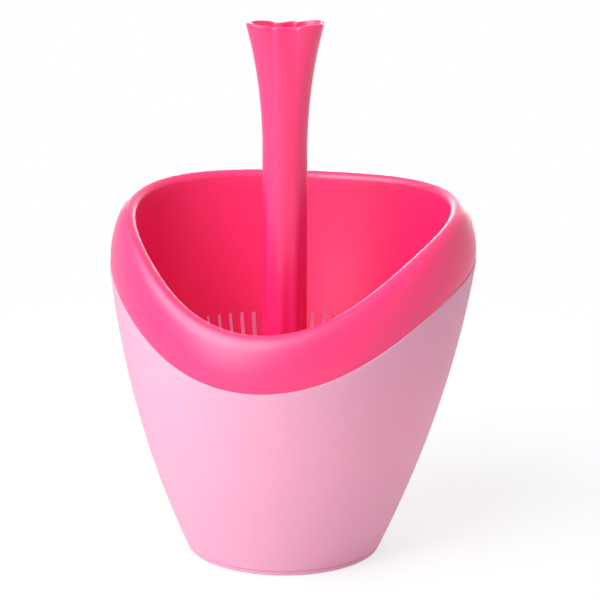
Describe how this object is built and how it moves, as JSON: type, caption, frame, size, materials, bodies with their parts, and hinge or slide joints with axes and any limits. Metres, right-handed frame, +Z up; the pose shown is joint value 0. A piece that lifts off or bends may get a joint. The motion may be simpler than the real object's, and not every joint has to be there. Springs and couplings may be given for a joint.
{
  "type": "cutlery organizer",
  "caption": "Free-standing cutlery organizer with a tapered outer container, a lift-out drainer basket with a swooping rolled rim, and a tall hollow handle column.",
  "frame": {"origin": "centre of the foot ring at the surface the organizer stands on, under the handle column", "axes": "+Z up along the handle column; -Y towards the low front of the rim; +X to the right seen from the front; the container and the rim mirror across the YZ plane"},
  "size_m": [0.2098, 0.2003, 0.3015],
  "materials": {
    "container_plastic": "satin",
    "basket_plastic": "satin",
    "column_plastic": "satin"
  },
  "bodies": {
    "container": {"outer_container": "container_plastic"},
    "basket": {"drainer_basket": "basket_plastic", "handle_column": "column_plastic"}
  },
  "joints": [
    {"name": "basket_lift", "type": "slide", "parent": "container", "child": "basket", "axis": [0, 0, 1], "range_m": [0, 0.2]}
  ]
}
